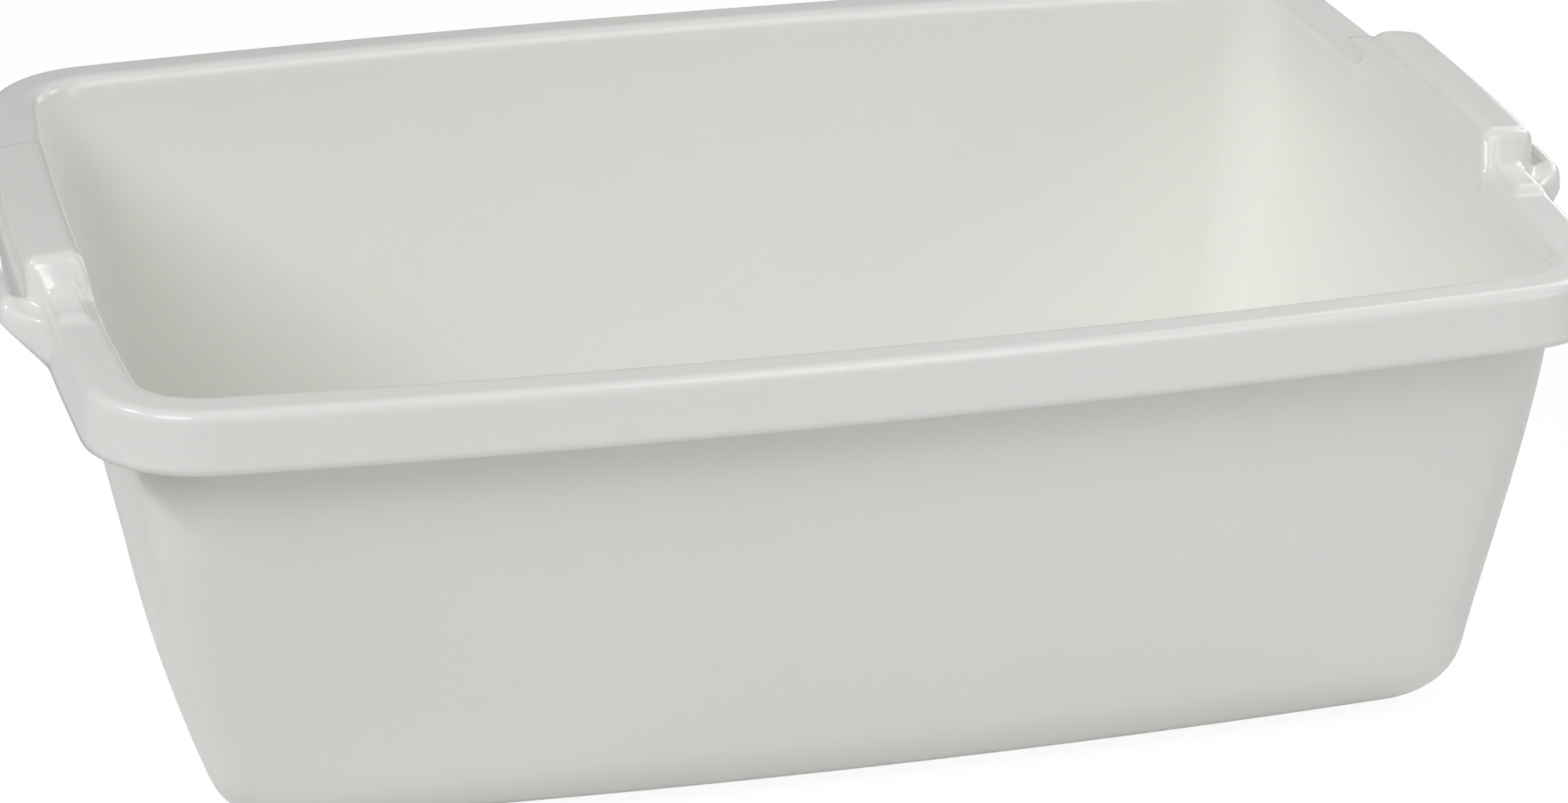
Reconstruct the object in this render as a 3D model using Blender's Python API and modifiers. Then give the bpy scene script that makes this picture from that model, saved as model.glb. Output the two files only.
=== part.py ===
"""Washing-up basin: one white moulding with a tapered tub, a down-turned rim and a grip at each short side.

Metres, +Z up. The origin is under the middle of the base, on the surface that the basin stands on.
X runs along the long sides, Y across. The whole product is one sheet of plastic of even thickness,
so it is drawn as its upper skin (floor, inner walls, rim, skirt) and thickened away from that skin.
"""

import math

import bmesh
import bpy

MM = 0.001

# Sheet
WALL = 2.4 * MM

# Rim, measured over its outer edge
RIM_LENGTH = 400.0 * MM
RIM_WIDTH = 284.6 * MM
RIM_HEIGHT = 133.5 * MM
RIM_CORNER = 30.6 * MM
RIM_END_BOW = 5.4 * MM
RIM_SIDE_BOW = 9.3 * MM
RIM_FLANGE = 13.0 * MM
RIM_OUTER_ROUND = 2.4 * MM
RIM_INNER_ROUND = 3.6 * MM
SKIRT_DROP = 15.8 * MM
SKIRT_FLARE = 0.9 * MM

# Tub, measured over its inner skin where the walls would meet the floor with no rounding
FLOOR_LENGTH = 332.0 * MM
FLOOR_WIDTH = 215.4 * MM
FLOOR_END_BOW = 3.6 * MM
FLOOR_SIDE_BOW = 7.0 * MM
WALL_CORNER_TOP = 19.0 * MM
WALL_CORNER_FOOT = 13.0 * MM
FLOOR_CORNER = 7.0 * MM
FLOOR_ROUND = 20.6 * MM
END_WALL_BELLY = 5.6 * MM
SIDE_WALL_BELLY = 3.6 * MM

# Grip at each short side: a raised hump of the rim with a slim bar standing outside it
GRIP_RAISE = 10.2 * MM
GRIP_HALF = 42.0 * MM
GRIP_SLOPE = math.radians(58)
GRIP_TOP_ROUND = 4.5 * MM
GRIP_FOOT_ROUND = 5.0 * MM
GRIP_CORNER = 3.2 * MM
GRIP_WIDTH = 16.8 * MM
GRIP_LEVEL = 5.5 * MM
GRIP_CROWN = 0.7 * MM
GRIP_LIP = 23.0 * MM
TAIL_RAISE = 1.6 * MM
TAIL_END = 67.0 * MM
BAR_REACH = 11.0 * MM
BAR_HALF = 46.2 * MM
BAR_BLEND = 12.0 * MM
BAR_WIDTH = 2.9 * MM
BAR_DEPTH = 6.3 * MM
SLOT_HALF = 43.0 * MM
WEB_DIP = 3.8 * MM
WEB_EDGE_DIP = 3.0 * MM
WEB_END = 68.0 * MM

# Facets
FLOOR_ROUND_STEPS = 6
WALL_STEPS = 3
ROUND_STEPS = 3
CORNER_STEPS = 8
SIDE_STEPS = 5
SECTION_MATCH = 1e-7

WHITE_PLASTIC = (0.80, 0.80, 0.77, 1.0)


def blend(start, end, value):
    """0 up to start, 1 from end on, and a smooth rise between them. The two may come in either order."""
    t = min(max((value - start) / (end - start), 0.0), 1.0)
    return t * t * (3 - 2 * t)


def mix(a, b, share):
    return a + (b - a) * share


class Ring:
    """A rounded rectangle with bowed sides, given by its half sizes, the rise of its bows and its corner."""

    def __init__(self, half_length, half_width, end_bow, side_bow, corner):
        self.end_radius = half_width**2 / (2 * end_bow)
        self.side_radius = half_length**2 / (2 * side_bow)
        self.end_centre = half_length - self.end_radius
        self.side_centre = half_width - self.side_radius
        self.corner = corner
        reach_end = self.end_radius - corner
        reach_side = self.side_radius - corner
        apart = math.hypot(self.end_centre, self.side_centre)
        along = (reach_end**2 - reach_side**2 + apart**2) / (2 * apart)
        off = math.sqrt(reach_end**2 - along**2)
        ux, uy = -self.end_centre / apart, self.side_centre / apart
        self.cx = self.end_centre + ux * along - uy * off
        self.cy = uy * along + ux * off
        self.end_angle = math.atan2(self.cy, self.cx - self.end_centre)
        self.side_angle = math.atan2(self.cy - self.side_centre, self.cx)

    def end_point(self, y):
        return self.end_centre + math.sqrt(self.end_radius**2 - y**2), y

    def corner_point(self, share):
        angle = mix(self.end_angle, self.side_angle, share)
        return self.cx + self.corner * math.cos(angle), self.cy + self.corner * math.sin(angle)

    def side_point(self, share):
        start = self.side_radius * math.cos(self.side_angle)
        x = start * (1 - share)
        return x, self.side_centre + math.sqrt(self.side_radius**2 - x**2)


def offset_ring(inset):
    """The rim's outer edge moved inwards, or outwards where inset is below zero."""
    half_length = RIM_LENGTH / 2 - inset
    half_width = RIM_WIDTH / 2 - inset
    return Ring(half_length, half_width, RIM_END_BOW, RIM_SIDE_BOW, RIM_CORNER - inset)


def wall_ring(height, inset=0.0, corner=None):
    """The inner skin of the walls at a height above the floor's upper face."""
    share = height / (RIM_HEIGHT - WALL)
    belly = share * (1 - share**4)
    half_length = mix(FLOOR_LENGTH / 2, RIM_LENGTH / 2 - RIM_FLANGE, share) + END_WALL_BELLY * belly
    half_width = mix(FLOOR_WIDTH / 2, RIM_WIDTH / 2 - RIM_FLANGE, share) + SIDE_WALL_BELLY * belly
    if corner is None:
        corner = mix(WALL_CORNER_FOOT, WALL_CORNER_TOP, share)
    end_bow = mix(FLOOR_END_BOW, RIM_END_BOW, share)
    side_bow = mix(FLOOR_SIDE_BOW, RIM_SIDE_BOW, share)
    return Ring(half_length - inset, half_width - inset, end_bow, side_bow, corner)


def section():
    """The upper skin from the floor's edge to the foot of the skirt, as (ring, height) pairs."""
    rows = []
    for step in range(FLOOR_ROUND_STEPS + 1):
        angle = math.pi / 2 * step / FLOOR_ROUND_STEPS
        inset = FLOOR_ROUND * (1 - math.sin(angle))
        corner = mix(FLOOR_CORNER, WALL_CORNER_FOOT, math.sin(angle))
        height = WALL + FLOOR_ROUND * (1 - math.cos(angle))
        rows.append((wall_ring(FLOOR_ROUND, inset, corner), height))
    top = RIM_HEIGHT - RIM_INNER_ROUND
    foot = WALL + FLOOR_ROUND
    for step in range(1, WALL_STEPS + 1):
        height = mix(foot, top, step / WALL_STEPS)
        rows.append((wall_ring(height - WALL), height))
    return rows


def riser():
    """The run and fall of each stretch of the hump's end: rounded top, sloped face, rounded foot."""
    rise = GRIP_RAISE - TAIL_RAISE
    turn = 1 - math.cos(GRIP_SLOPE)
    top = GRIP_TOP_ROUND * math.sin(GRIP_SLOPE), GRIP_TOP_ROUND * turn
    foot = GRIP_FOOT_ROUND * math.sin(GRIP_SLOPE), GRIP_FOOT_ROUND * turn
    face_fall = rise - top[1] - foot[1]
    face = face_fall / math.tan(GRIP_SLOPE), face_fall
    return top, face, foot


def ramp(y):
    """How much of the hump's rise is left at a distance y from the middle: 1 on the hump, 0 past its foot."""
    top, face, foot = riser()
    rise = GRIP_RAISE - TAIL_RAISE
    s = y - GRIP_HALF
    if s <= 0:
        return 1.0
    if s <= top[0]:
        return 1 - (GRIP_TOP_ROUND - math.sqrt(GRIP_TOP_ROUND**2 - s**2)) / rise
    if s <= top[0] + face[0]:
        return 1 - (top[1] + (s - top[0]) * math.tan(GRIP_SLOPE)) / rise
    left = top[0] + face[0] + foot[0] - s
    if left <= 0:
        return 0.0
    return (GRIP_FOOT_ROUND - math.sqrt(GRIP_FOOT_ROUND**2 - left**2)) / rise


def grip_stations():
    """Distances from the middle of the short side where the grip is cut into sections, out to its end."""
    top, face, foot = riser()
    edge = GRIP_HALF + top[0]
    base = edge + face[0]
    end = base + foot[0]
    stations = [0.0, GRIP_HALF * 0.5, GRIP_HALF - 7 * MM, GRIP_HALF - 3 * MM, GRIP_HALF, SLOT_HALF]
    stations += [GRIP_HALF + top[0] * 0.5, GRIP_HALF + top[0] * 0.8, edge, mix(edge, base, 0.5), base]
    stations += [base + foot[0] * 0.25, base + foot[0] * 0.6, end, mix(end, BAR_HALF + BAR_BLEND, 0.5)]
    stations += [BAR_HALF + BAR_BLEND, mix(BAR_HALF + BAR_BLEND, TAIL_END, 0.5)]
    stations += [TAIL_END, TAIL_END + 4 * MM, TAIL_END + 11 * MM]
    return stations


def rim_columns(y):
    """The rim's section at a distance y from the middle of a short side, wall top to skirt foot, as (x, z).

    On the hump the points run over its top and down its outer face. Past it the same points run over the
    flat of the rim, down its outer edge and across the web that ties the bar to the rim."""
    outer = offset_ring(0).end_point(y)[0]
    bar = blend(BAR_HALF + BAR_BLEND, BAR_HALF, y)
    edge = outer + BAR_REACH * bar
    wall = outer - RIM_FLANGE
    lean = (RIM_LENGTH - 2 * RIM_FLANGE - FLOOR_LENGTH) / 2 / RIM_HEIGHT
    rise = GRIP_RAISE - TAIL_RAISE
    foot_of_hump = GRIP_HALF + sum(run for run, fall in riser())
    tail = TAIL_RAISE * min(max((TAIL_END - y) / (TAIL_END - foot_of_hump), 0.0), 1.0)

    columns = []
    lift = rise * ramp(y) + TAIL_RAISE * blend(foot_of_hump, GRIP_HALF, y)
    for step in range(ROUND_STEPS + 1):
        angle = math.pi / 2 * step / ROUND_STEPS
        x = wall + lift * lean + RIM_INNER_ROUND * (1 - math.cos(angle))
        columns.append((x, RIM_HEIGHT - RIM_INNER_ROUND * (1 - math.sin(angle)) + lift))
    flat_start = columns[-1][0]
    ridge = outer - RIM_OUTER_ROUND - 2.5 * MM * (1 - bar)
    web_end = edge - BAR_WIDTH
    dip = WEB_DIP * blend(BAR_HALF + BAR_BLEND + 2 * MM, BAR_HALF + 4 * MM, y)
    edge_dip = WEB_EDGE_DIP * blend(SLOT_HALF + 0.5 * MM, SLOT_HALF + 9 * MM, y) * blend(WEB_END, BAR_HALF + 8 * MM, y)
    lip = mix(GRIP_LIP, WEB_DIP * 0.5, blend(SLOT_HALF - 31 * MM, SLOT_HALF, y))

    # Each point as it lies on the hump (x, height over the rim) and past it, and how much sooner than the
    # middle of the hump it falls away, which rounds the hump's upright corner.
    face = wall + GRIP_WIDTH
    level_end = wall + lift * lean + GRIP_LEVEL
    shoulder = face - GRIP_CORNER
    top = GRIP_RAISE
    points = [(mix(flat_start, level_end, 0.45), top, 0.0, mix(flat_start, ridge, 0.15), tail)]
    points.append((level_end, top, 0.0, mix(flat_start, ridge, 0.42), tail))
    points.append((mix(level_end, shoulder, 0.35), top - GRIP_CROWN * 0.25, 0.0, mix(flat_start, ridge, 0.68), tail))
    points.append((shoulder, top - GRIP_CROWN, 0.15 * GRIP_CORNER, ridge, tail * 0.9))
    across = (0.14, 0.34, 0.56)
    depths = (0.16, 0.62, 1.0)
    for step in range(ROUND_STEPS):
        angle = math.pi / 2 * (step + 1) / ROUND_STEPS
        x = shoulder + GRIP_CORNER * math.sin(angle)
        drop = GRIP_CROWN + GRIP_CORNER * (1 - math.cos(angle))
        delay = GRIP_CORNER * mix(0.15, 1.0, (1 - math.cos(angle)))
        past = mix(ridge, web_end, across[step]), tail * (0.6 - 0.3 * step) - dip * depths[step]
        points.append((x, top - drop, delay, *past))
    points.append((face, 0.0, GRIP_CORNER, mix(ridge, web_end, 0.74), -mix(dip, edge_dip, 0.25)))
    points.append((face, -lip, GRIP_CORNER, mix(ridge, web_end, 0.88), -mix(dip, edge_dip, 0.65)))

    for x_hump, z_hump, delay, x_past, z_past in points:
        share = ramp(y + delay)
        columns.append((mix(x_past, x_hump, share), RIM_HEIGHT + mix(z_past, z_hump, share)))

    bar_top = RIM_HEIGHT - edge_dip
    columns.append((web_end, bar_top))
    foot = RIM_HEIGHT - mix(SKIRT_DROP, BAR_DEPTH, bar)
    for step in range(ROUND_STEPS + 1):
        angle = math.pi / 2 * step / ROUND_STEPS
        x = edge - RIM_OUTER_ROUND * (1 - math.sin(angle))
        columns.append((x, bar_top - RIM_OUTER_ROUND * (1 - math.cos(angle))))
    flare = SKIRT_FLARE * (RIM_HEIGHT - foot) / SKIRT_DROP
    columns.append((edge + flare / 2, (columns[-1][1] + foot) / 2))
    columns.append((edge + flare, foot))
    return columns


def plain_rim():
    """The rim's section away from the grips, wall top to skirt foot, as (ring, height) pairs."""
    rows = []
    for step in range(ROUND_STEPS + 1):
        angle = math.pi / 2 * step / ROUND_STEPS
        inset = RIM_FLANGE - RIM_INNER_ROUND * (1 - math.cos(angle))
        rows.append((offset_ring(inset), RIM_HEIGHT - RIM_INNER_ROUND * (1 - math.sin(angle))))
    for step in range(ROUND_STEPS + 1):
        angle = math.pi / 2 * step / ROUND_STEPS
        inset = RIM_OUTER_ROUND * (1 - math.sin(angle))
        rows.append((offset_ring(inset), RIM_HEIGHT - RIM_OUTER_ROUND * (1 - math.cos(angle))))
    skirt = SKIRT_DROP - RIM_OUTER_ROUND
    rows.append((offset_ring(-SKIRT_FLARE / 2), RIM_HEIGHT - RIM_OUTER_ROUND - skirt / 2))
    rows.append((offset_ring(-SKIRT_FLARE), RIM_HEIGHT - SKIRT_DROP))
    return rows


def quarter_skin(bm):
    """The upper skin of one quarter, from the middle of a short side round the corner to a long side."""
    stations = grip_stations()
    tub = section()
    lower = tub[:-1]
    rim = plain_rim()

    def rings(place, rows):
        """One column of points, up the rows, at the place that picks a point on each ring."""
        return [bm.verts.new((*place(ring), height)) for ring, height in rows]

    columns = []
    for y in stations:
        tub_part = rings(lambda ring: ring.end_point(y), lower)
        rim_part = [bm.verts.new((x, y, z)) for x, z in rim_columns(y)]
        columns.append((tub_part, rim_part))

    plain = []
    for step in range(CORNER_STEPS + 1):
        share = step / CORNER_STEPS
        place = lambda ring, share=share: ring.corner_point(share)
        plain.append((rings(place, lower), rings(place, rim)))
    for step in range(1, SIDE_STEPS + 1):
        share = step / SIDE_STEPS
        place = lambda ring, share=share: ring.side_point(share)
        plain.append((rings(place, lower), rings(place, rim)))

    def strip(first, second):
        """Quads between two neighbouring columns of as many points, facing inwards and up."""
        for low in range(len(first) - 1):
            bm.faces.new((first[low], first[low + 1], second[low + 1], second[low]))

    slot_inner = len(columns[0][1]) - ROUND_STEPS - 5
    for place in range(len(stations) - 1):
        (tub_a, rim_a), (tub_b, rim_b) = columns[place], columns[place + 1]
        strip(tub_a + rim_a[:1], tub_b + rim_b[:1])
        if stations[place + 1] <= SLOT_HALF + SECTION_MATCH:
            strip(rim_a[: slot_inner + 1], rim_b[: slot_inner + 1])
            strip(rim_a[slot_inner + 1 :], rim_b[slot_inner + 1 :])
        else:
            strip(rim_a, rim_b)

    tub_a, rim_a = columns[-1]
    tub_b, rim_b = plain[0]
    strip(tub_a + rim_a[:1], tub_b + rim_b[:1])
    flat_a = len(rim_a) - ROUND_STEPS - 3
    strip(rim_a[: ROUND_STEPS + 1], rim_b[: ROUND_STEPS + 1])
    strip(rim_a[flat_a:], rim_b[ROUND_STEPS + 1 :])
    bm.faces.new(rim_a[ROUND_STEPS : flat_a + 1] + [rim_b[ROUND_STEPS + 1], rim_b[ROUND_STEPS]])

    for (tub_a, rim_a), (tub_b, rim_b) in zip(plain, plain[1:]):
        strip(tub_a + rim_a, tub_b + rim_b)

    edge = [column[0][0] for column in columns + plain]
    middle = bm.verts.new((0, 0, WALL))
    bm.faces.new([middle] + edge)


def basin_material():
    material = bpy.data.materials.new("white_plastic")
    material.use_nodes = True
    shader = material.node_tree.nodes["Principled BSDF"]
    shader.inputs["Base Color"].default_value = WHITE_PLASTIC
    shader.inputs["Roughness"].default_value = 0.22
    shader.inputs["Metallic"].default_value = 0.0
    return material


def basin(collection):
    """The moulding: a quarter of the skin, mirrored twice and thickened to the sheet."""
    mesh = bpy.data.meshes.new("basin")
    bm = bmesh.new()
    quarter_skin(bm)
    bm.to_mesh(mesh)
    bm.free()
    mesh.materials.append(basin_material())
    mesh.shade_smooth()
    mesh.set_sharp_from_angle(angle=math.radians(40))
    obj = bpy.data.objects.new("basin", mesh)
    collection.objects.link(obj)

    mirror = obj.modifiers.new("other_quarters", "MIRROR")
    mirror.use_axis = (True, True, False)
    mirror.use_mirror_merge = True
    mirror.merge_threshold = 0.00001

    sheet = obj.modifiers.new("sheet", "SOLIDIFY")
    sheet.thickness = WALL
    sheet.offset = -1
    sheet.use_even_offset = True
    sheet.use_quality_normals = True
    sheet.use_rim = True
    return obj


def main():
    for old in list(bpy.data.objects):
        bpy.data.objects.remove(old)
    parts = bpy.data.collections.new("washing_up_basin")
    bpy.context.scene.collection.children.link(parts)
    basin(parts)


main()
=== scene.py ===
import math

import bmesh
import bpy
from mathutils import Euler, Matrix, Vector


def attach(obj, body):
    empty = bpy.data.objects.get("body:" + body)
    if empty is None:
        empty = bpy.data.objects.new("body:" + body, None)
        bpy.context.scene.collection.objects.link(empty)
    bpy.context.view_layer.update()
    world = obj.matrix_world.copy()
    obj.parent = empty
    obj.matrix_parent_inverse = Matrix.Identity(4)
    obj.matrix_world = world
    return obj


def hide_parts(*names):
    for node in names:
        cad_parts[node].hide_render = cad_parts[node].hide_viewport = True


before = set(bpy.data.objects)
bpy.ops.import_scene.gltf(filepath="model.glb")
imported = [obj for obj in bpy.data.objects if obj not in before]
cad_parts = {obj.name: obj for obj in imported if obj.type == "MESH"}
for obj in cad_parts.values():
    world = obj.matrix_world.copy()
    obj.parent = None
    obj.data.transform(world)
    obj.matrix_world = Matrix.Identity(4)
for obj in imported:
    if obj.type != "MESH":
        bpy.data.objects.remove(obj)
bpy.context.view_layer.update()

# The tub: the floor, its rounded edge and the four tapered walls of the moulding. One sheet of
# polypropylene, 2.4 mm thick, that the mould draws from a bowed rectangle. Its upper skin is traced
# here ring by ring, from the floor's edge up, and gets its thickness at the end.
MM = 0.001
SHEET = 2.4 * MM
RIM_HEIGHT = 133.5 * MM
RIM_HALF = (200.0 * MM, 142.3 * MM)
RIM_BOW = (5.4 * MM, 9.3 * MM)
RIM_CORNER = 30.6 * MM
FLANGE = 13.0 * MM
FLOOR_HALF = (166.0 * MM, 107.7 * MM)
FLOOR_BOW = (3.6 * MM, 7.0 * MM)
WALL_BELLY = (5.6 * MM, 3.6 * MM)
WALL_CORNER = (13.0 * MM, 19.0 * MM)
FLOOR_CORNER = 7.0 * MM
FLOOR_ROUND = 20.6 * MM
CORNER_STEPS = 10
SIDE_STEPS = 8


def mix(a, b, share):
    return a + (b - a) * share


def blend(start, end, value):
    t = min(max((value - start) / (end - start), 0.0), 1.0)
    return t * t * (3 - 2 * t)


class Outline:
    """A rectangle with bowed sides and round corners, seen from above, and the points on a quarter of it."""

    def __init__(self, half, bow, corner):
        self.radius = half[1] ** 2 / (2 * bow[0]), half[0] ** 2 / (2 * bow[1])
        self.centre = half[0] - self.radius[0], half[1] - self.radius[1]
        self.corner = corner
        reach = self.radius[0] - corner, self.radius[1] - corner
        apart = math.hypot(*self.centre)
        along = (reach[0] ** 2 - reach[1] ** 2 + apart**2) / (2 * apart)
        off = math.sqrt(reach[0] ** 2 - along**2)
        ux, uy = -self.centre[0] / apart, self.centre[1] / apart
        self.turn = self.centre[0] + ux * along - uy * off, uy * along + ux * off
        self.first = math.atan2(self.turn[1], self.turn[0] - self.centre[0])
        self.last = math.atan2(self.turn[1] - self.centre[1], self.turn[0])

    def at(self, side, place):
        if side == "end":
            return self.centre[0] + math.sqrt(self.radius[0] ** 2 - place**2), place
        if side == "corner":
            angle = mix(self.first, self.last, place)
            return self.turn[0] + self.corner * math.cos(angle), self.turn[1] + self.corner * math.sin(angle)
        x = self.radius[1] * math.cos(self.last) * (1 - place)
        return x, self.centre[1] + math.sqrt(self.radius[1] ** 2 - x**2)


def rim_outline(inset):
    return Outline((RIM_HALF[0] - inset, RIM_HALF[1] - inset), RIM_BOW, RIM_CORNER - inset)


def wall_outline(height, inset=0.0, corner=None):
    share = height / (RIM_HEIGHT - SHEET)
    belly = share * (1 - share**4)
    half = [mix(FLOOR_HALF[i], RIM_HALF[i] - FLANGE, share) + WALL_BELLY[i] * belly - inset for i in (0, 1)]
    bow = [mix(FLOOR_BOW[i], RIM_BOW[i], share) for i in (0, 1)]
    return Outline(half, bow, corner or mix(*WALL_CORNER, share))


tub_rows = []
for step in range(8):
    angle = math.pi / 2 * step / 7
    corner = mix(FLOOR_CORNER, WALL_CORNER[0], math.sin(angle))
    inset = FLOOR_ROUND * (1 - math.sin(angle))
    tub_rows.append((wall_outline(FLOOR_ROUND, inset, corner), SHEET + FLOOR_ROUND * (1 - math.cos(angle))))
for step in range(1, 8):
    height = mix(SHEET + FLOOR_ROUND, RIM_HEIGHT - 6 * MM, step / 7)
    tub_rows.append((wall_outline(height - SHEET), height))

# The rim and its two grips: the sheet turned over to a flat, down-turned rim, which at each short side
# rises in a hump for the palm and leaves a slot between the hump and a slim bar, tied on by a web.
# The section is given at a distance y from the middle of the short side, as (x, z) points.
OUTER_ROUND = 2.4 * MM
INNER_ROUND = 3.6 * MM
SKIRT = 15.8 * MM
FLARE = 0.9 * MM
HUMP_RISE = 10.2 * MM
HUMP_HALF = 42.0 * MM
HUMP_SLOPE = math.radians(58)
HUMP_ROUNDS = (4.5 * MM, 5.0 * MM)
HUMP_CORNER = 3.2 * MM
CORNER_DELAY = (0.15 * HUMP_CORNER, 0.4 * HUMP_CORNER)
HUMP_WIDTH = 16.8 * MM
HUMP_LEVEL = 5.5 * MM
HUMP_CROWN = 0.7 * MM
HUMP_LIP = (19.5 * MM, 1.9 * MM)
TAIL_RISE = 1.6 * MM
TAIL_END = 69.5 * MM
TAIL_STEP = 5.0 * MM
BAR_REACH = 10.8 * MM
BAR_SPAN = (58.2 * MM, 46.2 * MM)
BAR_WIDTH = 2.9 * MM
BAR_DEPTH = 6.3 * MM
SLOT_HALF = 43.0 * MM
SLOT_LEVEL = RIM_HEIGHT - 1.5 * MM
LIP_TAPER = 27.0 * MM
WEB_SPAN = (SLOT_HALF + 0.5 * MM, SLOT_HALF + 9.0 * MM)
WEB_DROP = 3.2 * MM
WEB_SAG = 0.6 * MM
ROUND_STEPS = 4

riser_turn = 1 - math.cos(HUMP_SLOPE)
riser_falls = [HUMP_ROUNDS[0] * riser_turn, 0.0, HUMP_ROUNDS[1] * riser_turn]
riser_falls[1] = HUMP_RISE - TAIL_RISE - riser_falls[0] - riser_falls[2]
riser_runs = [HUMP_ROUNDS[0] * math.sin(HUMP_SLOPE), riser_falls[1] / math.tan(HUMP_SLOPE)]
riser_runs.append(HUMP_ROUNDS[1] * math.sin(HUMP_SLOPE))
RISER_FOOT = HUMP_HALF + sum(riser_runs)


def hump_share(y):
    """How much of the hump's rise is left at a distance y: 1 on the hump, 0 past its foot."""
    rise = HUMP_RISE - TAIL_RISE
    s = y - HUMP_HALF
    if s <= 0:
        return 1.0
    if s <= riser_runs[0]:
        return 1 - (HUMP_ROUNDS[0] - math.sqrt(HUMP_ROUNDS[0] ** 2 - s**2)) / rise
    if s <= riser_runs[0] + riser_runs[1]:
        return 1 - (riser_falls[0] + (s - riser_runs[0]) * math.tan(HUMP_SLOPE)) / rise
    left = max(RISER_FOOT - y, 0.0)
    return (HUMP_ROUNDS[1] - math.sqrt(HUMP_ROUNDS[1] ** 2 - left**2)) / rise


def rim_section(y):
    outer = rim_outline(0).at("end", y)[0]
    bar = blend(*BAR_SPAN, y)
    wall = outer - FLANGE
    lean = (RIM_HALF[0] - FLANGE - FLOOR_HALF[0]) / RIM_HEIGHT
    tail = TAIL_RISE * blend(TAIL_END, TAIL_END - TAIL_STEP, y)
    lift = (HUMP_RISE - TAIL_RISE) * hump_share(y) + TAIL_RISE * blend(RISER_FOOT, HUMP_HALF, y)

    section = []
    for step in range(ROUND_STEPS + 1):
        angle = math.pi / 2 * step / ROUND_STEPS
        x = wall + lift * lean + INNER_ROUND * (1 - math.cos(angle))
        section.append((x, RIM_HEIGHT - INNER_ROUND * (1 - math.sin(angle)) + lift))
    flat = section[-1][0]
    ridge = outer - OUTER_ROUND
    web = outer + max(BAR_REACH * bar - BAR_WIDTH, 0.0)
    drop = WEB_DROP * blend(*WEB_SPAN, y)
    lip = mix(*HUMP_LIP, blend(SLOT_HALF - LIP_TAPER, SLOT_HALF, y))

    # Each point as it lies on the hump and past it. The points near the hump's outer side fall away
    # sooner, which rounds its upright corner. Past the hump they turn down over the rim's outer edge.
    face = wall + HUMP_WIDTH
    level = wall + lift * lean + HUMP_LEVEL
    shoulder = face - HUMP_CORNER
    points = []
    for x_top, sunk, across in (
            (mix(flat, level, 0.3), 0.0, 0.12),
            (mix(flat, level, 0.9), 0.0, 0.36),
            (mix(level, shoulder, 0.15), 0.08, 0.62),
            (mix(level, shoulder, 0.6), 0.52, 0.85)):
        points.append((x_top, HUMP_RISE - HUMP_CROWN * sunk, 0.0, mix(flat, ridge, across), tail))
    points.append((shoulder, HUMP_RISE - HUMP_CROWN, CORNER_DELAY[0], ridge, tail * 0.9))
    for step in range(1, ROUND_STEPS + 1):
        angle = math.pi / 2 * step / ROUND_STEPS
        turned = 1 - math.cos(angle)
        height = HUMP_RISE - HUMP_CROWN - HUMP_CORNER * turned
        delay = mix(*CORNER_DELAY, turned)
        past = tail * (1 - turned) * 0.8 - OUTER_ROUND * turned
        x = shoulder + HUMP_CORNER * math.sin(angle)
        points.append((x, height, delay, ridge + OUTER_ROUND * math.sin(angle), past))
    for z_face, across, deep in ((0.0, 0.12, mix(OUTER_ROUND, WEB_DROP, 0.45)),
                                 (-lip, 0.55, mix(OUTER_ROUND, WEB_DROP, 0.8) + WEB_SAG * bar)):
        points.append((face, z_face, CORNER_DELAY[1], mix(outer, web, across), -deep))
    for x_hump, z_hump, delay, x_past, z_past in points:
        share = hump_share(y + delay)
        section.append((mix(x_past, x_hump, share), RIM_HEIGHT + mix(z_past, z_hump, share)))

    top = RIM_HEIGHT - drop
    foot = RIM_HEIGHT - mix(SKIRT, BAR_DEPTH, bar)
    flare = FLARE * (RIM_HEIGHT - foot) / SKIRT
    edge = outer + BAR_REACH * bar
    radius = min(OUTER_ROUND, 0.8 * BAR_REACH * bar)
    spread = mix(0.25, 0.9, blend(BAR_SPAN[0] - 3 * MM, 70 * MM, y)) * MM
    section.append((web, top))
    for step in range(ROUND_STEPS + 1):
        angle = math.pi / 2 * step / ROUND_STEPS
        fall = max(radius * (1 - math.cos(angle)), spread * (step + 0.6) if radius < OUTER_ROUND else 0.0)
        section.append((edge - radius * (1 - math.sin(angle)) + FLARE * fall / SKIRT, top - fall))
    low = section[-1][1]
    section.append((edge + flare * 0.6, mix(low, foot, 0.6)))
    section.append((edge + flare, foot))
    return section


edge_runs = [riser_runs[0] * share for share in (0.35, 0.65, 0.85, 1.0)]
stations = [y * MM for y in (0, 10, 18, 24, 29, 33, 36, 38.5, 40.5)] + [HUMP_HALF, SLOT_HALF]
stations += [HUMP_HALF + run for run in edge_runs]
base = HUMP_HALF + riser_runs[0] + riser_runs[1]
stations += [mix(stations[-1], base, 0.5), base]
stations += [mix(base, RISER_FOOT, share) for share in (0.2, 0.45, 0.72, 1.0)]
stations += [y * MM for y in (54, 55.4, 56.8, 58.2, 59.4, 61, 63)]
stations += [y * MM for y in (64.5, 65.5, 66.5, 67.5, 68.5, 69.5, 71, 74, 78)]
quarter = [("end", y) for y in stations]
quarter += [("corner", step / CORNER_STEPS) for step in range(CORNER_STEPS + 1)]
quarter += [("side", step / SIDE_STEPS) for step in range(1, SIDE_STEPS + 1)]
turns = [(1, 1, place) for place in quarter]
turns += [(-1, 1, place) for place in quarter[-2::-1]]
turns += [(-1, -1, place) for place in quarter[1:]]
turns += [(1, -1, place) for place in quarter[-2:0:-1]]

sections = {y: rim_section(y) for y in stations}
plain = [(rim_outline(0).at("end", stations[-1])[0] - x, z) for x, z in sections[stations[-1]]]
plain_outlines = [rim_outline(inset) for inset, z in plain]


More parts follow.
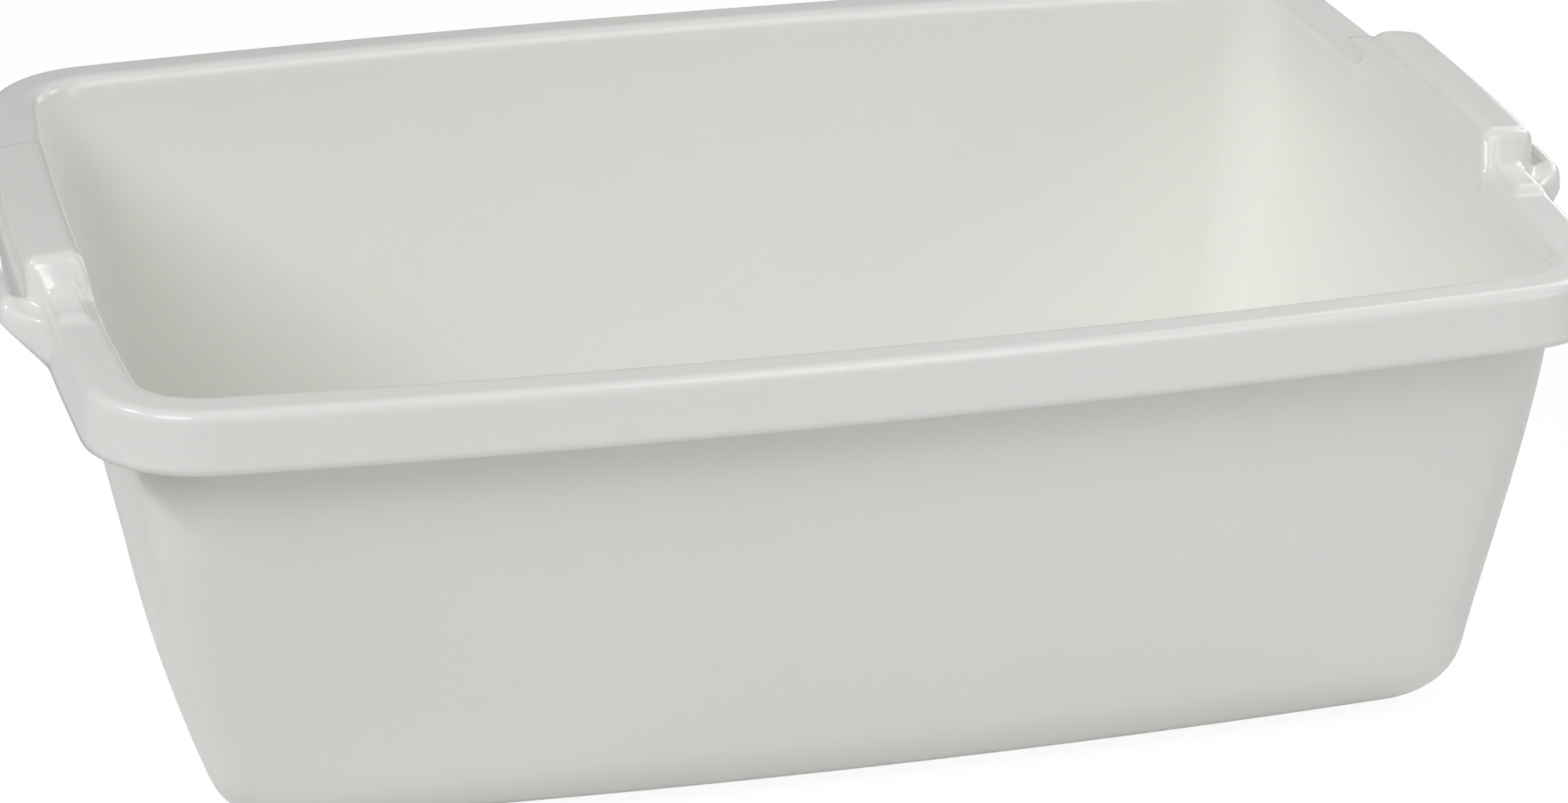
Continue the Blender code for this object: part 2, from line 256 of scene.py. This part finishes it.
def ring_point(row, side, place):
    if row < len(tub_rows):
        outline, z = tub_rows[row]
        return (*outline.at(side, place), z)
    row -= len(tub_rows)
    if side == "end":
        return sections[place][row][0], place, sections[place][row][1]
    return (*plain_outlines[row].at(side, place), plain[row][1])


def ring(row):
    points = [(sx, sy, ring_point(row, *place)) for sx, sy, place in turns]
    return [Vector((sx * x, sy * y, z)) for sx, sy, (x, y, z) in points]


bpy.ops.object.select_all(action="DESELECT")
bpy.ops.mesh.primitive_circle_add(vertices=len(turns), radius=RIM_HALF[1], fill_type="NOTHING")
basin = bpy.context.object
basin.name = basin.data.name = "basin_moulding"
for vertex, point in zip(basin.data.vertices, ring(0)):
    vertex.co = point
bpy.ops.object.mode_set(mode="EDIT")
bpy.ops.mesh.select_mode(type="VERT")
bpy.ops.mesh.select_all(action="SELECT")
for row in range(1, len(tub_rows) + len(plain)):
    places = {tuple(round(c, 7) for c in point): i for i, point in enumerate(ring(row - 1))}
    bpy.ops.mesh.extrude_region_move(TRANSFORM_OT_translate={"value": (0, 0, 0)})
    shape = bmesh.from_edit_mesh(basin.data)
    target = ring(row)
    for vertex in [v for v in shape.verts if v.select]:
        near = min(places, key=lambda p: (Vector(p) - vertex.co).length_squared)
        vertex.co = target[places[near]]
    bmesh.update_edit_mesh(basin.data)

# The floor closes the first ring, and the slots open the faces between each hump's lip and its bar.
shape = bmesh.from_edit_mesh(basin.data)
for edge in shape.edges:
    edge.select_set(all(vertex.co.z < SHEET + 0.001 * MM for vertex in edge.verts))
bmesh.update_edit_mesh(basin.data)
bpy.ops.mesh.select_mode(type="EDGE")
bpy.ops.mesh.fill_grid(span=2 * len(stations) + CORNER_STEPS - 2)
bpy.ops.mesh.select_mode(type="FACE")
bpy.ops.mesh.select_all(action="DESELECT")
shape = bmesh.from_edit_mesh(basin.data)
slot_row = len(sections[0.0]) - ROUND_STEPS - 5
lip_x = sections[0.0][slot_row][0]
for face in shape.faces:
    centre = face.calc_center_median()
    across = [abs(vertex.co.x) for vertex in face.verts]
    heights = [vertex.co.z for vertex in face.verts]
    beside_lip = abs(centre.x) > lip_x - 3 * MM and max(across) - min(across) > 2.2 * MM
    face.select = abs(centre.y) < SLOT_HALF and beside_lip and min(heights) < SLOT_LEVEL < max(heights)
bmesh.update_edit_mesh(basin.data)
bpy.ops.mesh.delete(type="FACE")
bpy.ops.mesh.select_all(action="SELECT")
bpy.ops.mesh.normals_make_consistent(inside=False)
shape = bmesh.from_edit_mesh(basin.data)
floor_up = max(shape.faces, key=lambda f: f.calc_area()).normal.z
if floor_up < 0:
    bpy.ops.mesh.flip_normals()
bpy.ops.object.mode_set(mode="OBJECT")

sheet = basin.modifiers.new("sheet", "SOLIDIFY")
sheet.thickness = SHEET
sheet.offset = -1
sheet.use_even_offset = True
sheet.use_quality_normals = True
sheet.edge_crease_rim = sheet.edge_crease_inner = sheet.edge_crease_outer = 0.75
bpy.ops.object.modifier_apply(modifier=sheet.name)
fine = basin.modifiers.new("fine", "SUBSURF")
fine.levels = fine.render_levels = 1
bpy.ops.object.modifier_apply(modifier=fine.name)
bpy.ops.object.shade_smooth()

# The finish: white polypropylene straight from a polished mould. It is glossy, with a faint grey-green
# cast, slow waves in the skin, a very fine grain, soft flow marks and a little dust and rubbing.


class Plug:
    """A shader socket that can be used in plain arithmetic."""

    def __init__(self, tree, socket):
        self.tree, self.socket = tree, socket

    def add(self, kind, settings=None, out=0, **values):
        node = self.tree.nodes.new(kind)
        for name, value in (settings or {}).items():
            setattr(node, name, value)
        for name, value in values.items():
            key = int(name[1:]) if name[0] == "i" and name[1:].isdigit() else name.replace("_", " ")
            if isinstance(value, Plug):
                self.tree.links.new(value.socket, node.inputs[key])
            else:
                node.inputs[key].default_value = value
        return Plug(self.tree, node.outputs[out])

    def sum(self, operation, a, b):
        return self.add("ShaderNodeMath", {"operation": operation}, i0=a, i1=b)

    def __add__(self, other):
        return self.sum("ADD", self, other)

    def __radd__(self, other):
        return self.sum("ADD", other, self)

    def __sub__(self, other):
        return self.sum("SUBTRACT", self, other)

    def __rsub__(self, other):
        return self.sum("SUBTRACT", other, self)

    def __mul__(self, other):
        return self.sum("MULTIPLY", self, other)

    def __rmul__(self, other):
        return self.sum("MULTIPLY", other, self)

    def step(self, low, high):
        return self.add("ShaderNodeMapRange", {"interpolation_type": "SMOOTHSTEP"}, Value=self, From_Min=low,
                        From_Max=high)


PLASTIC = (0.931, 0.945, 0.888, 1.0)
PLASTIC_WARM = (0.929, 0.939, 0.874, 1.0)
PLASTIC_COOL = (0.932, 0.948, 0.899, 1.0)
DUST = (0.25, 0.24, 0.21, 1.0)
RUBBED = (0.55, 0.54, 0.5, 1.0)
WAVE_HEIGHT = 0.22 * MM
PEEL_HEIGHT = 0.004 * MM
GRAIN_HEIGHT = 0.0008 * MM

plastic = bpy.data.materials.new("white_polypropylene")
plastic.use_nodes = True
tree = plastic.node_tree
shader = tree.nodes["Principled BSDF"]
place = Plug(tree, tree.nodes.new("ShaderNodeTexCoord").outputs["Object"])


def noise(scale, detail, vector=place, **more):
    return place.add("ShaderNodeTexNoise", None, 0, Vector=vector, Scale=scale, Detail=detail, **more)


def colour_mix(share, first, second):
    return place.add("ShaderNodeMix", {"data_type": "RGBA"}, 2, Factor=share, i6=first, i7=second)


cloud = noise(9.0, 2.0)
flow = noise(1.0, 3.0, place.add("ShaderNodeMapping", None, 0, Vector=place, Scale=(5.0, 5.0, 26.0)))
grain = noise(2600.0, 1.0)
peel = noise(420.0, 2.0)
wave = noise(16.0, 1.0)
dust = place.add("ShaderNodeTexVoronoi", {"feature": "F1"}, 0, Vector=place, Scale=55.0)
dust_size = place.add("ShaderNodeTexWhiteNoise", None, 0, Vector=place.add(
    "ShaderNodeTexVoronoi", {"feature": "F1"}, 2, Vector=place, Scale=55.0))
speck = 1 - (dust * 55.0).step(0.0, 0.02)
speck = speck * dust_size.step(0.93, 0.99)
height = Plug(tree, place.add("ShaderNodeSeparateXYZ", None, 2, Vector=place).socket)
rub = noise(160.0, 4.0, place.add("ShaderNodeMapping", None, 0, Vector=place, Scale=(1.0, 1.0, 0.15)))
low_rub = rub.step(0.52, 0.72) * (1 - (height * 1000.0).step(1.0, 9.0))

tint = colour_mix(cloud.step(0.35, 0.65), PLASTIC_WARM, PLASTIC_COOL)
tint = colour_mix(0.5 + (flow - 0.5) * 0.3, tint, PLASTIC)
tint = colour_mix(speck * 0.55, tint, DUST)
tint = colour_mix(low_rub * 0.25, tint, RUBBED)
rough = 0.17 + (cloud - 0.5) * 0.06 + (peel - 0.5) * 0.05 + low_rub * 0.25 + speck * 0.3
lift = wave * WAVE_HEIGHT + peel * PEEL_HEIGHT + grain * GRAIN_HEIGHT
bump = place.add("ShaderNodeBump", None, 0, Strength=1.0, Distance=1.0, Height=lift)
tree.links.new(tint.socket, shader.inputs["Base Color"])
tree.links.new(rough.socket, shader.inputs["Roughness"])
tree.links.new(bump.socket, shader.inputs["Normal"])
shader.inputs["IOR"].default_value = 1.49
shader.inputs["Subsurface Weight"].default_value = 1.0
shader.inputs["Subsurface Scale"].default_value = 0.0025
shader.inputs["Subsurface Radius"].default_value = (1.0, 0.95, 0.85)
basin.data.materials.clear()
basin.data.materials.append(plastic)
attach(basin, "root")
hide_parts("basin")

# The studio: a plain white table that runs on without a horizon. It glows towards the camera as a table
# lit from behind does, and still takes the basin's shadow.
def backdrop_share(tree):
    """1 for what the camera sees, 0 for the light that falls on the object. Gloss mirrors it more weakly,
    because only the part of the room behind the basin is lit white."""
    path = tree.nodes.new("ShaderNodeLightPath").outputs
    direct = Plug(tree, path["Is Camera Ray"]) + Plug(tree, path["Is Transmission Ray"])
    return direct + Plug(tree, path["Is Glossy Ray"]) * 0.25


bpy.ops.mesh.primitive_plane_add(size=12, location=(0, 0, -0.0004))
floor = bpy.context.object
floor.name = floor.data.name = "studio_floor"
floor_white = bpy.data.materials.new("studio_floor_white")
floor_white.use_nodes = True
tree = floor_white.node_tree
tree.nodes.clear()
seen = backdrop_share(tree)
matt = seen.add("ShaderNodeBsdfDiffuse", None, 0, Color=(0.82, 0.82, 0.82, 1))
glow = seen.add("ShaderNodeEmission", None, 0, Color=(1, 1, 1, 1), Strength=1.09)
both = seen.add("ShaderNodeMixShader", None, 0, i0=seen * 0.85, i1=matt, i2=glow)
out = tree.nodes.new("ShaderNodeOutputMaterial")
tree.links.new(both.socket, out.inputs["Surface"])
floor.data.materials.append(floor_white)

world = bpy.data.worlds.new("studio")
bpy.context.scene.world = world
world.use_nodes = True
tree = world.node_tree
tree.nodes.clear()
seen = backdrop_share(tree)
dim = seen.add("ShaderNodeBackground", None, 0, Color=(1, 1, 1, 1), Strength=0.02)
bright = seen.add("ShaderNodeBackground", None, 0, Color=(1, 1, 1, 1), Strength=1.0)
air = seen.add("ShaderNodeMixShader", None, 0, i0=seen, i1=dim, i2=bright)
out = tree.nodes.new("ShaderNodeOutputWorld")
tree.links.new(air.socket, out.inputs["Surface"])

# The lamps: softboxes on stands, each turned to the basin: four at 2.2 m and four small ones close by.
# Every row gives the name, the compass angle from the front, the height angle, the distance and the width
# in metres, and the power in watts.
SOFTBOXES = [
    ("key_left", -90, 40, 2.2, 0.25, 10.7),
    ("soft_front_left", -45, 40, 2.2, 0.9, 16.5),
    ("low_right", 45, 12, 2.2, 0.9, 6.4),
    ("low_back_right", 135, 12, 2.2, 0.9, 5.1),
    ("near_right", 105, 35, 0.85, 0.3, 1.31),
    ("near_top", 20, 60, 0.85, 0.3, 0.82),
    ("near_front", 20, 35, 0.85, 0.3, 0.56),
    ("near_back_right", 135, 40, 0.85, 0.3, 0.4),
]
for name, turn, rise, distance, width, power in SOFTBOXES:
    level = math.cos(math.radians(rise))
    way = Vector((math.sin(math.radians(turn)) * level, -math.cos(math.radians(turn)) * level,
                  math.sin(math.radians(rise))))
    facing = way.to_track_quat("Z", "Y").to_euler()
    bpy.ops.object.light_add(type="AREA", location=Vector((0, 0, 0.07)) + way * distance, rotation=facing)
    lamp = bpy.context.object
    lamp.name = lamp.data.name = name
    lamp.data.size = width
    lamp.data.energy = power

# The camera stands to the front left, about 1.4 m away, with a long lens, as in the photograph.
bpy.ops.object.camera_add(location=(-0.31486, -1.31163, 0.61721))
camera = bpy.context.object
turn = Euler((math.pi / 2 - 0.3878, 0, -0.2394)).to_matrix() @ Matrix.Rotation(-0.0027, 3, "Z")
camera.rotation_euler = turn.to_euler()
camera.data.sensor_width = 36
camera.data.lens = 121.9
camera.data.clip_end = 20
bpy.context.scene.camera = camera
bpy.context.scene.view_settings.view_transform = "Standard"
